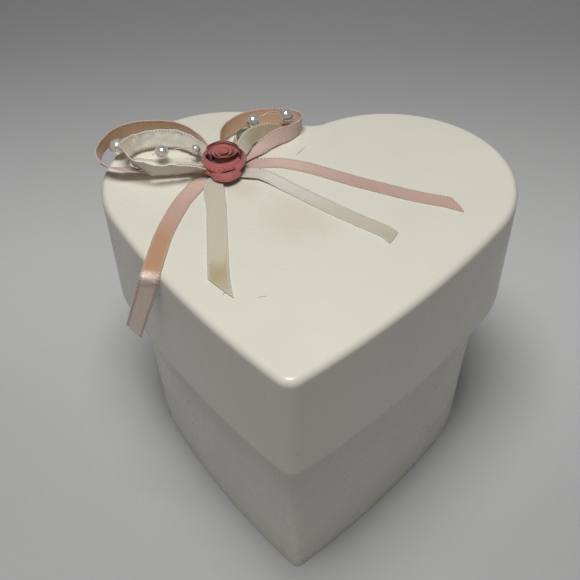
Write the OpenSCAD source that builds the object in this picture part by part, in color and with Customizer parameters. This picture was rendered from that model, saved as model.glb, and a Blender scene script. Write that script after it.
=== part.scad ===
// Heart-shaped trinket box: a moulded plastic base, a lift-off lid, and a ribbon bow
// with a rolled rose and pearl sprays on the lid.
// Millimetres. +Z is up, the heart's tip points to -Y, z = 0 is the foot ring.
// The origin is the middle of the lid's outline, front to back and side to side.

/* [Lid] */
// Overall width of the lid across both lobes
lid_w = 70; // [60:1:90]
// Overall length of the lid from the tip to the back of the lobes
lid_len = 66.4; // [58:0.1:84]
// Radius of each round lobe at the back
lobe_r = 20.8; // [17:0.1:25]
// Radius of the long side curves
side_r = 171.5; // [140:0.5:300]
// Radius in the notch between the lobes
notch_r = 3.8; // [2:0.1:8]
// Radius of the lid's front tip
tip_r = 2.6; // [2:0.1:5]
// Height of the lid from its lower edge to its top face
lid_h = 21.2; // [14:0.1:30]
// Thickness of the lid's top
lid_top_t = 2; // [1.5:0.1:3]
// Thickness of the lid's side wall
lid_wall = 2; // [1.2:0.1:2.6]
// Radius rolled over the lid's top edge
lid_edge_r = 1.2; // [0.5:0.1:2]

/* [Base] */
// Height of the base from the foot ring to its rim
base_h = 56.5; // [45:0.1:70]
// Thickness of the base's side wall
base_wall = 1.8; // [1.2:0.1:2.4]
// Thickness of the base's floor
base_floor = 2; // [1.5:0.1:3]
// How much narrower each side is at the foot than at the rim, for mould release
base_draft = 1.7; // [0.5:0.1:3]
// Radius of the base's front tip
base_tip_r = 1.5; // [1:0.1:3]
// Radius where the floor meets the walls inside
floor_fillet = 2; // [1:0.1:3]
// Depth of the recess under the floor
foot_recess = 1; // [0.6:0.1:2]
// Width of the foot ring round that recess
foot_w = 1.6; // [1.2:0.1:3]

/* [Fit] */
// Gap all round between the base's rim and the inside of the lid
fit_gap = 0.5; // [0.3:0.05:1]

/* [Bow] */
// Width of the satin ribbon
ribbon_w = 3; // [2.4:0.1:3.6]
// Thickness of the satin ribbon
ribbon_t = 0.2; // [0.15:0.01:0.25]
// Diameter across the rolled rose
rose_d = 8.6; // [7:0.1:10]
// Height of the rolled rose
rose_h = 2.4; // [2:0.1:4]
// Diameter of the gathered knot
knot_d = 1.8; // [1.6:0.1:2]
// Diameter of the binding thread
thread_d = 0.24; // [0.2:0.01:0.3]
// Diameter of the glue dab's foot
glue_d = 5.2; // [4.8:0.1:5.2]
// Diameter of the two pearls by the rose on the left and in the right loop
pearl_mid_d = 2.4; // [2:0.1:2.8]
// Diameter of the pearl at the left end
pearl_big_d = 2.8; // [2.4:0.1:3.2]
// Diameter of the pearl tucked against the rose
pearl_small_d = 1.7; // [1.5:0.1:2]
// Diameter of the clear filament that carries the pearls
filament_d = 0.3; // [0.25:0.01:0.4]
// Diameter of the hole through each pearl
pearl_hole_d = 0.7; // [0.6:0.05:0.9]

/* [Hidden] */

// Places that follow from the sizes above
lobe_x = lid_w / 2 - lobe_r;
lobe_y = lid_len / 2 - lobe_r;
lid_top = base_h + lid_top_t;
lid_bottom = lid_top - lid_h;
min_tip_r = 0.6;
edge_round = 0.3;
rim_round = 0.4;
inner_corner_r = 0.5;
bow_shift = [0.2, 0.4];
bow = [-lobe_x + bow_shift[0], lobe_y + bow_shift[1], lid_top];
knot_lift = 0.2;
knot_z = knot_d / 2 + knot_lift;
groove_gap = 0.02;
glue_h = knot_z - 0.3;
rose_gap = 0.05;
rose_z = knot_z + knot_d / 2 + thread_d / 2 + rose_gap;

// Segments in each stretch of the outline
NOTCH_SEGS = 5;
LOBE_SEGS = 22;
SIDE_SEGS = 9;
TIP_SEGS = 4;
HALF_SEGS = NOTCH_SEGS + LOBE_SEGS + SIDE_SEGS + TIP_SEGS;
RING = 2 * HALF_SEGS;

// ---- The heart outline: arcs that meet at common tangents ----

// Centre of the right-hand side curve, tangent to the lobe and to the tip
tip_y = lid_len - lobe_r - tip_r;
chord = norm([lobe_x, tip_y]);
along = (pow(side_r - lobe_r, 2) - pow(side_r - tip_r, 2) + chord * chord) / (2 * chord);
across = sqrt(pow(side_r - lobe_r, 2) - along * along);
side_c = [lobe_x - (lobe_x * along + tip_y * across) / chord,
          (lobe_x * across - tip_y * along) / chord];
notch_y = sqrt(pow(lobe_r + notch_r, 2) - lobe_x * lobe_x);

function polar(c, r, a) = [c[0] + r * cos(a), c[1] + r * sin(a)];

// Centre height of a tip of radius r on the outline moved in by d
function tip_centre_y(d, r) = side_c[1] - sqrt(pow(side_r - d - r, 2) - side_c[0] * side_c[0]);

// Right half of the outline moved in by d, from the notch round to the tip
function half_outline(d, r) =
    let (a_notch = atan2(-notch_y, lobe_x),
         a_lobe = atan2(notch_y, -lobe_x),
         a_side = atan2(-side_c[1], lobe_x - side_c[0]),
         tip_c = tip_centre_y(d, r),
         a_tip = atan2(tip_c - side_c[1], -side_c[0]))
    concat(
        [for (i = [0 : NOTCH_SEGS - 1])
            polar([0, notch_y], notch_r + d, -90 + (a_notch + 90) * i / NOTCH_SEGS)],
        [for (i = [0 : LOBE_SEGS - 1])
            polar([lobe_x, 0], lobe_r - d, a_lobe + (a_side - a_lobe) * i / LOBE_SEGS)],
        [for (i = [0 : SIDE_SEGS - 1])
            polar(side_c, side_r - d, a_side + (a_tip - a_side) * i / SIDE_SEGS)],
        [for (i = [0 : TIP_SEGS]) polar([0, tip_c], r, a_tip + (-90 - a_tip) * i / TIP_SEGS)]);

// Whole outline, clockwise from above, starting in the notch
function outline(d, r) =
    let (h = half_outline(d, r))
    concat(h, [for (i = [HALF_SEGS - 1 : -1 : 1]) [-h[i][0], h[i][1]]]);

// Closed solid of one skin through a list of [z, inset, tip radius] levels. The first level is
// closed by a face that looks down and the last by one that looks up, so a shell's levels run
// from the underside, up the outside, over the edge and down the inside.
module heart_solid(levels) {
    n = len(levels);
    rings = [for (l = levels) for (p = outline(l[1], l[2])) [p[0], p[1] + lobe_y, l[0]]];
    caps = [for (l = [levels[0], levels[n - 1]]) for (s = [1, -1]) [s * lobe_x, lobe_y, l[0]]];
    c = n * RING;
    top = (n - 1) * RING;
    sides = [for (k = [0 : n - 2]) for (i = [0 : RING - 1])
        let (a = k * RING + i, b = k * RING + (i + 1) % RING)
        each [[a, b, b + RING], [a, b + RING, a + RING]]];
    floor_fans = [for (i = [0 : RING - 1]) [i < HALF_SEGS ? c : c + 1, (i + 1) % RING, i]];
    roof_fans = [for (i = [0 : RING - 1])
        [i < HALF_SEGS ? c + 2 : c + 3, top + i, top + (i + 1) % RING]];
    middles = [[c, 0, HALF_SEGS], [c + 1, HALF_SEGS, 0],
               [c + 2, top + HALF_SEGS, top], [c + 3, top, top + HALF_SEGS]];
    polyhedron(concat(rings, caps), concat(sides, floor_fans, roof_fans, middles));
}

// Levels of an outside corner of radius r that ends at height z, rounding inwards
function round_over(z, d, r, tip, steps) =
    [for (i = [0 : steps]) let (a = 90 * i / steps)
        [z - r + r * sin(a), d + r * (1 - cos(a)), max(tip - r * (1 - cos(a)), min_tip_r)]];

// Levels of an outside corner of radius r that starts at height z
function round_under(z, d, r, tip, steps) =
    [for (i = [0 : steps]) let (a = 90 * i / steps)
        [z + r * (1 - cos(a)), d + r * (1 - sin(a)), max(tip - r * (1 - sin(a)), min_tip_r)]];

function backwards(levels) = [for (i = [len(levels) - 1 : -1 : 0]) levels[i]];

// ---- Base ----

// How far the base's outside is moved in from the lid's outline at height z
function base_inset(z) = lid_wall + fit_gap + base_draft * (1 - z / base_h);

module base() {
    floor_top = foot_recess + base_floor;
    rim_d = base_inset(base_h) + base_wall;
    color("ivory")
        heart_solid(concat(
            [[foot_recess, base_inset(0) + foot_w, min_tip_r],
             [0, base_inset(0) + foot_w, min_tip_r]],
            round_under(0, base_inset(0), edge_round, base_tip_r, 2),
            round_over(base_h, base_inset(base_h), rim_round, base_tip_r, 3),
            [[base_h, rim_d - rim_round, min_tip_r], [base_h - rim_round, rim_d, min_tip_r]],
            backwards(round_under(floor_top, base_inset(floor_top) + base_wall, floor_fillet,
                                  min_tip_r, 4))));
}

// ---- Lid ----

module lid() {
    color("ivory")
        heart_solid(concat(
            backwards(round_over(base_h, lid_wall, inner_corner_r, min_tip_r, 3)),
            [[lid_bottom + edge_round, lid_wall, min_tip_r],
             [lid_bottom, lid_wall - edge_round, min_tip_r]],
            round_under(lid_bottom, 0, edge_round, tip_r, 2),
            round_over(lid_top, 0, lid_edge_r, tip_r, 5)));
}

// ---- Ribbon ----

// One span of a smooth curve through the middle two of four points
function spline(a, b, c, d, t) =
    0.5 * (2 * b + (c - a) * t + (2 * a - 5 * b + 4 * c - d) * t * t
           + (3 * b - a - 3 * c + d) * t * t * t);

// Smooth curve through every point of p, with n steps a span
function smooth(p, n) =
    let (m = len(p) - 1)
    concat([for (i = [0 : m - 1]) for (k = [0 : n - 1])
               spline(p[max(i - 1, 0)], p[i], p[i + 1], p[min(i + 2, m)], k / n)], [p[m]]);

function unit(v) = v / norm(v);
function place(p) = [p[0], p[1], p[2]];

// Ribbon width that the routes' heights are set out for
ROUTE_RIBBON_W = 3;

// Flat ribbon along points [x, y, z, lean, width share]: lean 0 lies flat, 90 stands on edge.
// A wider ribbon that stands is lifted, so its lower edge stays where it was.
// A ribbon that hangs down takes its width from the direction across, since it has no level side.
module ribbon(route, steps, across = undef) {
    q = smooth(route, steps);
    n = len(q);
    ring = [for (i = [0 : n - 1])
        let (dir = unit(place(q[min(i + 1, n - 1)]) - place(q[max(i - 1, 0)])),
             level = is_undef(across) ? [-dir[1], dir[0], 0] : across,
             side = unit(level - (level * dir) * dir),
             up = cross(dir, side),
             w = (side * cos(q[i][3]) + up * sin(q[i][3])) * ribbon_w * q[i][4] / 2,
             t = unit(cross(w, dir)) * ribbon_t / 2,
             lift = (ribbon_w - ROUTE_RIBBON_W) / 2 * q[i][4] * abs(sin(q[i][3])),
             c = place(q[i]) + [0, 0, lift])
        each [c - w - t, c + w - t, c + w + t, c - w + t]];
    skin = [for (k = [0 : n - 2]) for (j = [0 : 3])
        let (a = 4 * k + j, b = 4 * k + (j + 1) % 4)
        each [[a, b, b + 4], [a, b + 4, a + 4]]];
    e = 4 * (n - 1);
    translate(bow)
        polyhedron(ring, concat(skin, [[2, 1, 0], [3, 2, 0], [e, e + 1, e + 2], [e, e + 2, e + 3]]));
}

// Routes run outwards from the knot, measured from the bow's middle on the lid's top
PINK_LOOP_LEFT = [
    [-1.1, -0.4, 1.05, 0, 0.3], [-3, -0.9, 1.1, 5, 0.6], [-6.5, -0.6, 1.2, 10, 1],
    [-11, -1.3, 1.4, 12, 1], [-16, -2.3, 1.9, 22, 1], [-19.6, -1.7, 2.2, 45, 1],
    [-21.7, 0.6, 2.3, 80, 1], [-21.7, 4, 2.3, 95, 1], [-20.2, 7.6, 2.3, 100, 1],
    [-17, 10, 2.3, 105, 1], [-13, 10.6, 2.3, 105, 1], [-9, 9.8, 2.2, 100, 1],
    [-5.6, 7.2, 2, 90, 0.9], [-3.4, 4.2, 1.6, 60, 0.6], [-1.1, 1.2, 1.2, 10, 0.3]];
PINK_LOOP_RIGHT = [
    [1.3, 0.8, 1.05, 0, 0.3], [3, 3.1, 0.75, 0, 0.6], [5.1, 5.7, 0.65, 10, 0.7],
    [7, 7.7, 1.2, 55, 0.85], [8.9, 9, 1.6, 75, 1], [10.7, 10.2, 1.65, 85, 1],
    [12.2, 12, 1.7, 95, 1], [12.2, 13.9, 1.7, 100, 1], [10.4, 15.1, 1.7, 102, 1],
    [7, 15.4, 1.7, 102, 1], [3.4, 14.4, 1.75, 102, 1], [0.6, 12.2, 1.8, 100, 1],
    [-1.3, 9, 1.8, 90, 0.9], [-1.4, 5.4, 1.6, 75, 0.6], [0, 1.4, 1.15, 10, 0.3]];
CREAM_LOOP_LEFT = [
    [-1.1, -0.7, 1.55, 0, 0.3], [-3, -1.95, 1.95, 35, 0.5], [-6.6, -3.35, 2.85, 62, 1],
    [-10.5, -4.3, 3.35, 66, 1.1], [-14, -3.3, 3.7, 66, 1.1], [-16.6, 0, 3.2, 70, 1.1],
    [-17.2, 3, 2.7, 80, 1.1], [-15.4, 5.4, 2.4, 85, 1.1], [-12, 6.5, 2.4, 85, 1.1],
    [-8.4, 6.3, 2.3, 80, 1.1], [-5.2, 4.7, 1.9, 60, 0.8], [-3, 2.6, 1.7, 25, 0.5],
    [-1.3, 0.9, 1.6, 0, 0.3]];
CREAM_LOOP_RIGHT = [
    [1.4, 0.2, 1.5, 0, 0.3], [2.4, 3.2, 1.9, 35, 0.7], [3.2, 5.6, 2.3, 60, 1],
    [4.2, 8, 2.3, 72, 1], [6.2, 9.7, 2, 68, 1], [7.9, 11.1, 1.5, 55, 0.8],
    [9.2, 12.4, 1.1, 25, 0.6], [8.6, 13.3, 1, 15, 0.6], [6.6, 13.2, 1.2, 40, 0.8],
    [4.2, 12.7, 1, 25, 0.7], [1.9, 11, 1.2, 50, 0.8], [0.9, 8.6, 1.5, 70, 0.8],
    [1.1, 5.2, 1.6, 50, 0.5], [0.9, 1.6, 1.6, 0, 0.3]];
PINK_TAIL_LEFT = [
    [-2.3, -1.6, 0.2, 0, 0.7], [-3.9, -3.5, 0.16, 0, 0.99], [-4.9, -5.8, 0.16, 0, 1.01],
    [-5.8, -8.2, 0.16, 0, 1], [-6.4, -10.6, 0.16, 0, 1], [-6.9, -13.1, 0.16, 0, 1],
    [-7.3, -15.6, 0.16, 0, 1], [-7.6, -18.1, 0.16, 0, 1], [-7.7, -20.6, 0.16, 0, 1],
    [-7.8, -23.1, 0.17, 0, 1], [-7.9, -25.6, 0.13, 0, 1], [-8.4, -27.2, -1.47, 0, 1],
    [-9.2, -26.9, -3.81, 0, 1], [-10, -26.3, -6.12, 0, 1], [-10.9, -25.7, -8.42, 0, 1],
    [-11.7, -25.2, -10.72, 0, 1], [-12.6, -24.8, -13.05, 0, 1], [-13.4, -24.4, -15.4, 0, 1]];
PINK_TAIL_RIGHT = [
    [2.4, 1.3, 0.2, 0, 0.7], [4.8, 2.5, 0.16, 0, 0.9], [7.3, 2.95, 0.16, 0, 0.9],
    [9.8, 2.9, 0.16, 0, 0.9], [12.3, 2.3, 0.16, 0, 0.9], [14.7, 1.5, 0.16, 0, 0.9],
    [17.2, 0.4, 0.16, 0, 0.9], [19.6, -0.7, 0.16, 0, 0.9], [22, -1.8, 0.16, 0, 0.9],
    [24.5, -2.8, 0.16, 0, 0.9], [27, -3.8, 0.16, 0, 0.9], [29.5, -4.8, 0.16, 0, 0.9],
    [32, -5.7, 0.16, 0, 0.9], [34.5, -6.4, 0.16, 0, 0.9], [37, -7.1, 0.16, 0, 0.9],
    [39.9, -8.3, 0.16, 0, 0.9]];
CREAM_TAIL_LEFT = [
    [-0.6, -1.4, 0.95, 0, 0.35], [-1.1, -3.2, 0.78, 0, 0.85], [-1.1, -5.2, 0.6, 0, 1.1],
    [-0.7, -7.3, 0.45, 0, 1.1], [-0.2, -9.4, 0.26, 0, 1.1], [0.1, -11.5, 0.17, 0, 1.1],
    [0.4, -13.5, 0.16, 0, 1.1], [0.7, -15.5, 0.16, 0, 1.1], [1, -17.5, 0.16, 0, 1.1],
    [1.3, -19.5, 0.16, 0, 1.1], [1.6, -21.5, 0.16, 0, 1.1], [1.9, -23.5, 0.16, 0, 1.1],
    [2.2, -25.5, 0.16, 0, 1.1], [2.6, -27.5, 0.16, 0, 1.1], [3, -29.3, 0.16, 0, 1.1],
    [3.5, -31.1, 0.16, 0, 1.1]];
CREAM_TAIL_RIGHT = [
    [2.4, -0.9, 0.6, 0, 0.7], [4.4, -0.7, 0.6, 0, 0.9], [6.3, -0.9, 0.55, 0, 0.9],
    [8.2, -1.8, 0.4, 0, 0.9], [10, -3.1, 0.25, 0, 0.9], [11.8, -4.4, 0.17, 0, 0.9],
    [13.6, -5.7, 0.16, 0, 0.9], [15.3, -7, 0.16, 0, 0.9], [17, -8.2, 0.16, 0, 0.9],
    [18.8, -9.5, 0.16, 0, 0.9], [20.5, -10.7, 0.16, 0, 0.9], [22.3, -11.9, 0.16, 0, 0.9],
    [24, -13, 0.16, 0, 0.9], [25.6, -14, 0.16, 0, 0.9], [27.3, -15.2, 0.16, 0, 0.9],
    [28.6, -17, 0.16, 0, 0.85]];
// Across the hanging tail, from its left edge to its right edge
ACROSS_TAIL = [1, 0, 0];

LOOP_STEPS = 4;
TAIL_STEPS = 2;

module pink_loop_left() { color("rosybrown") ribbon(PINK_LOOP_LEFT, LOOP_STEPS); }
module pink_loop_right() { color("rosybrown") ribbon(PINK_LOOP_RIGHT, LOOP_STEPS); }
module cream_loop_left() { color("beige") ribbon(CREAM_LOOP_LEFT, LOOP_STEPS); }
module cream_loop_right() { color("beige") ribbon(CREAM_LOOP_RIGHT, LOOP_STEPS); }
module pink_tail_left() { color("rosybrown") ribbon(PINK_TAIL_LEFT, TAIL_STEPS, ACROSS_TAIL); }
module pink_tail_right() { color("rosybrown") ribbon(PINK_TAIL_RIGHT, TAIL_STEPS); }
module cream_tail_left() { color("beige") ribbon(CREAM_TAIL_LEFT, TAIL_STEPS); }
module cream_tail_right() { color("beige") ribbon(CREAM_TAIL_RIGHT, TAIL_STEPS); }

// ---- Knot, thread, glue and rose ----

module thread_ring(d) {
    translate(bow + [0, 0, knot_z])
        rotate([0, 90, 0])
            rotate_extrude($fn = 48)
                translate([knot_d / 2 - thread_d / 4, 0])
                    circle(d = d, $fn = 16);
}

module knot() {
    color("beige")
    difference() {
        translate(bow + [0, 0, knot_z]) sphere(d = knot_d, $fn = 48);
        thread_ring(thread_d + 2 * groove_gap);
    }
}

module binding_thread() { color("antiquewhite") thread_ring(thread_d); }

module glue_dab() {
    color("wheat")
    difference() {
        translate(bow) cylinder(d1 = glue_d, d2 = glue_d - 2 * glue_h, h = glue_h, $fn = 64);
        translate(bow + [0, 0, knot_z]) sphere(d = knot_d + 2 * thread_d, $fn = 48);
    }
}

// Half section of the rose as shares of its radius and height
ROSE_SECTION = [[0, 0], [0.45, 0], [0.85, 0.15], [1, 0.45], [0.95, 0.7], [0.75, 0.9], [0.4, 1],
                [0, 1]];

module rose() {
    color("indianred")
    translate(bow + [0, 0, rose_z])
        rotate_extrude($fn = 72)
            polygon([for (s = ROSE_SECTION) [s[0] * rose_d / 2, s[1] * rose_h]]);
}

// ---- Pearl sprays ----

// Pearl middles, measured as the ribbon routes are
PEARL_AT = [[-19.1, 3.8, 2.3], [-11, 2.5, 2.3], [-5.1, 2.7, 2.8], [3.9, 11.6, 3], [9.7, 13, 3.4]];
PEARL_D = [pearl_big_d, pearl_mid_d, pearl_small_d, pearl_mid_d, pearl_mid_d];

// Filaments from the knot: through the two inner pearls, low under the loops to the end pearl,
// and through the two pearls on the right
STRING_LEFT = [[-1.4, 0.1, 1.9], [-3, 1.1, 2.2], PEARL_AT[2], [-8, 3, 2.7], PEARL_AT[1], [-12.6, 2.1, 2]];
STRING_END = [[-2.8, 1.6, 0.8], [-6, 2, 0.5], [-11, 2.6, 0.4], [-15.4, 3.2, 0.4], [-18.2, 3.6, 1],
              PEARL_AT[0], [-19.9, 4, 3.5]];
STRING_RIGHT = [[0.4, 3.6, 1.9], [0.4, 6.4, 2.9], PEARL_AT[3], [6.9, 13.4, 3.7], PEARL_AT[4],
                [11.2, 12.2, 3.1]];
STRING_STEPS = 4;
STRING_SIDES = 8;

// Round filament along a smooth curve through every point of p
module filament(p) {
    q = smooth(p, STRING_STEPS);
    n = len(q);
    ring = [for (i = [0 : n - 1])
        let (dir = unit(q[min(i + 1, n - 1)] - q[max(i - 1, 0)]),
             side = unit([-dir[1], dir[0], 0]),
             down = cross(side, dir))
        for (j = [0 : STRING_SIDES - 1])
            let (a = 360 * j / STRING_SIDES)
            q[i] + (side * cos(a) + down * sin(a)) * filament_d / 2];
    skin = [for (k = [0 : n - 2]) for (j = [0 : STRING_SIDES - 1])
        let (a = STRING_SIDES * k + j, b = STRING_SIDES * k + (j + 1) % STRING_SIDES)
        each [[a, b, b + STRING_SIDES], [a, b + STRING_SIDES, a + STRING_SIDES]]];
    e = STRING_SIDES * (n - 1);
    translate(bow)
        polyhedron(ring, concat(skin,
            [for (j = [1 : STRING_SIDES - 2]) [j + 1, j, 0]],
            [for (j = [1 : STRING_SIDES - 2]) [e, e + j, e + j + 1]]));
}

module filament_left() { color("whitesmoke") { filament(STRING_LEFT); filament(STRING_END); } }
module filament_right() { color("whitesmoke") filament(STRING_RIGHT); }

// Pearl i, bored along the direction from point a to point b of its filament
module pearl(i, a, b) {
    v = b - a;
    color("floralwhite")
    translate(bow + PEARL_AT[i])
        rotate([0, acos(v[2] / norm(v)), atan2(v[1], v[0])])
            difference() {
                sphere(d = PEARL_D[i], $fn = 64);
                cylinder(d = pearl_hole_d, h = 2 * PEARL_D[i], center = true, $fn = 24);
            }
}

module pearl_1() { pearl(0, STRING_END[4], STRING_END[6]); }
module pearl_2() { pearl(1, STRING_LEFT[3], STRING_LEFT[5]); }
module pearl_3() { pearl(2, STRING_LEFT[1], STRING_LEFT[3]); }
module pearl_4() { pearl(3, STRING_RIGHT[1], STRING_RIGHT[3]); }
module pearl_5() { pearl(4, STRING_RIGHT[3], STRING_RIGHT[5]); }

base();
lid();
glue_dab();
knot();
binding_thread();
rose();
pink_loop_left();
pink_loop_right();
cream_loop_left();
cream_loop_right();
pink_tail_left();
pink_tail_right();
cream_tail_left();
cream_tail_right();
filament_left();
filament_right();
pearl_1();
pearl_2();
pearl_3();
pearl_4();
pearl_5();
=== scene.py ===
"""Looks of a heart-shaped trinket box: glossy moulded plastic, a satin bow with a rolled rose, and pearl sprays."""

import logging
import math
from collections.abc import Callable, Iterable, Sequence
from dataclasses import dataclass, field
from enum import Enum

import bmesh
import bpy
from bmesh.types import BMEdge, BMesh, BMVert
from bpy.types import ID, Material, Mesh, Modifier, Node, NodeSocket, NodeTree, Object
from mathutils import Matrix, Vector, noise


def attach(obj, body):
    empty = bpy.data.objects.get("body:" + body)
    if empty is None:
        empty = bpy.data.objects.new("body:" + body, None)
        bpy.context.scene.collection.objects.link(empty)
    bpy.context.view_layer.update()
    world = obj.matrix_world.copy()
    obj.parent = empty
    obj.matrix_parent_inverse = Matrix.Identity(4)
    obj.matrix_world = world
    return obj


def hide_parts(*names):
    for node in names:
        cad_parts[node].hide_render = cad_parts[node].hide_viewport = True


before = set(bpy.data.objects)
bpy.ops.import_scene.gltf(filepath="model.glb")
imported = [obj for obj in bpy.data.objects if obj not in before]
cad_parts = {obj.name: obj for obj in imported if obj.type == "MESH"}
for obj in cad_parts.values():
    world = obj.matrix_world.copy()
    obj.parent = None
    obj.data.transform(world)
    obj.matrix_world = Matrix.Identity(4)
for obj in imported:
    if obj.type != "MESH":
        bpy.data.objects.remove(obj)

LOG = logging.getLogger("trinket_box")
MM = 0.001
UP = Vector((0.0, 0.0, 1.0))
LEAST_TIP_R = 0.6
FACE_BORDER = 0.5
Pair = tuple[float, float]
Triple = tuple[float, float, float]
Colour = tuple[float, float, float, float]
Route = Sequence[Sequence[float]]


class Body(Enum):
    """The two bodies that move apart."""

    BASE = "base"
    LID = "lid"


class Side(Enum):
    """Which side of the ribbon's end is the longer one at its slanting cut."""

    LEFT = 1
    SQUARE = 0
    RIGHT = -1


# ---------------------------------------------------------------- shader building


class Sheet:
    """A node tree being filled in, with short calls for the nodes that the finishes use."""

    def __init__(self, tree: NodeTree) -> None:
        """Starts on an empty tree."""
        self.tree = tree
        tree.nodes.clear()

    def add(self, kind: str, props: dict | None = None, **sockets: object) -> Node:
        """Adds a node.

        Args:
            kind: the node's type name, without its ShaderNode beginning.
            props: the node's own settings.
            sockets: values or outputs for its inputs, by name with underscores for spaces.

        Returns:
            The new node.
        """
        node = self.tree.nodes.new("ShaderNode" + kind)
        for name, value in (props or {}).items():
            setattr(node, name, value)
        for name, value in sockets.items():
            self.feed(node.inputs[name.replace("_", " ")], value)
        return node

    def feed(self, socket: NodeSocket, value: object) -> None:
        """Links an output to a socket, or sets the socket's own value."""
        if isinstance(value, NodeSocket):
            self.tree.links.new(value, socket)
        else:
            socket.default_value = value

    def math(self, operation: str, *values: object, clamp: bool = False) -> NodeSocket:
        """One Math node; returns its output."""
        node = self.add("Math", {"operation": operation, "use_clamp": clamp})
        for socket, value in zip(node.inputs, values):
            self.feed(socket, value)
        return node.outputs[0]

    def vector(self, operation: str, *values: object) -> NodeSocket:
        """One Vector Math node; returns its number for a length, or else its vector."""
        node = self.add("VectorMath", {"operation": operation})
        for socket, value in zip(node.inputs, values):
            self.feed(socket, value)
        return node.outputs["Value" if operation == "LENGTH" else "Vector"]

    def times(self, *values: object) -> NodeSocket:
        """Multiplies two numbers."""
        return self.math("MULTIPLY", *values)

    def plus(self, *values: object) -> NodeSocket:
        """Adds two numbers."""
        return self.math("ADD", *values)

    def minus(self, *values: object, clamp: bool = False) -> NodeSocket:
        """Takes the second number from the first."""
        return self.math("SUBTRACT", *values, clamp=clamp)

    def spread(self, value: object, low: float, high: float, to_low: float = 0.0, to_high: float = 1.0) -> NodeSocket:
        """A smooth step from to_low to to_high as value goes from low to high."""
        node = self.add("MapRange", {"interpolation_type": "SMOOTHSTEP"}, Value=value)
        for name, number in (("From Min", low), ("From Max", high), ("To Min", to_low), ("To Max", to_high)):
            self.feed(node.inputs[name], number)
        return node.outputs["Result"]

    def mix(self, factor: object, a: object, b: object, how: str = "MIX") -> NodeSocket:
        """Mixes two colours; returns the result."""
        node = self.add("Mix", {"data_type": "RGBA", "blend_type": how})
        for place, value in ((0, factor), (6, a), (7, b)):
            self.feed(node.inputs[place], value)
        return node.outputs[2]

    def noise(self, vector: object, scale: float, detail: float = 3.0, rough: float = 0.5) -> NodeSocket:
        """Noise from 0 to 1 on a vector."""
        node = self.add("TexNoise", None, Vector=vector, Scale=scale, Detail=detail, Roughness=rough)
        return node.outputs["Fac"]

    def drive(self, shader: Node, **values: object) -> None:
        """Feeds a shader's own inputs, by name with underscores for spaces."""
        for name, value in values.items():
            self.feed(shader.inputs[name.replace("_", " ")], value)

    def place(self) -> NodeSocket:
        """Object coordinates."""
        return self.add("TexCoord").outputs["Object"]

    def use(self, group: NodeTree, **sockets: object) -> Node:
        """Places a shared effect, with its own values."""
        node = self.tree.nodes.new("ShaderNodeGroup")
        node.node_tree = group
        for name, value in sockets.items():
            self.feed(node.inputs[name.replace("_", " ")], value)
        return node


def group(name: str, inputs: dict[str, str], outputs: dict[str, str]) -> tuple[Sheet, dict, Node]:
    """Starts a shared effect.

    Args:
        name: the effect's name.
        inputs: socket names and kinds, Float, Vector or Color.
        outputs: the same for what it puts out.

    Returns:
        Its sheet, its inputs by name, and its output node.
    """
    tree = bpy.data.node_groups.new(name, "ShaderNodeTree")
    sheet = Sheet(tree)
    for direction, sockets in (("INPUT", inputs), ("OUTPUT", outputs)):
        for label, kind in sockets.items():
            tree.interface.new_socket(name=label, in_out=direction, socket_type="NodeSocket" + kind)
    start = tree.nodes.new("NodeGroupInput")
    end = tree.nodes.new("NodeGroupOutput")
    return sheet, {label: start.outputs[label] for label in inputs}, end


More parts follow.
